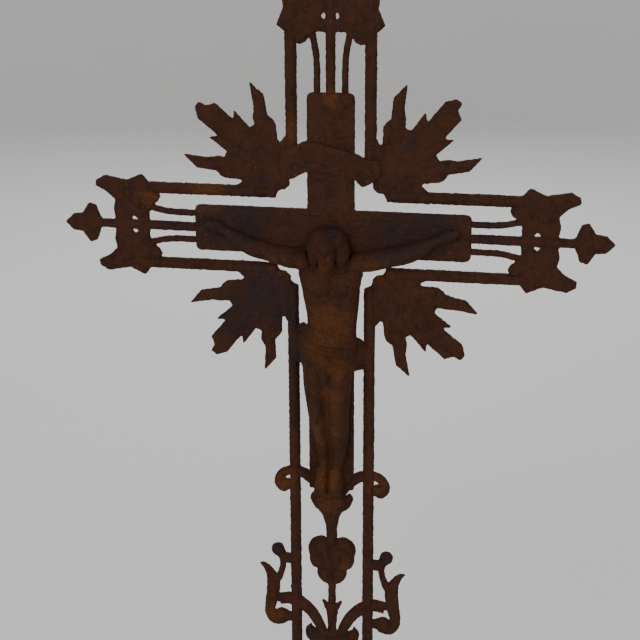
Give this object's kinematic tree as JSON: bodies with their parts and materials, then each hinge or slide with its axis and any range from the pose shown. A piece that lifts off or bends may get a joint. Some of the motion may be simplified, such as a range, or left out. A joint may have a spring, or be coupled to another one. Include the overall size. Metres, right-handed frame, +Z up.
{
  "type": "cast iron crucifix",
  "caption": "Thin cast iron grave cross with a figure in half relief, a double-rod frame, ray fans in the corners, leaf ends, scrolls and lilies on the shaft.",
  "frame": {"origin": "middle of the foot's flat underside", "axes": "+Z up along the shaft, the figure faces -Y, +X to the viewer's right"},
  "size_m": [0.708, 0.077, 1.2455],
  "materials": {
    "iron": "rusted, pitted, dark chocolate brown with orange rust and traces of old dark paint"
  },
  "bodies": {
    "root": {"crucifix": "iron"}
  },
  "joints": []
}
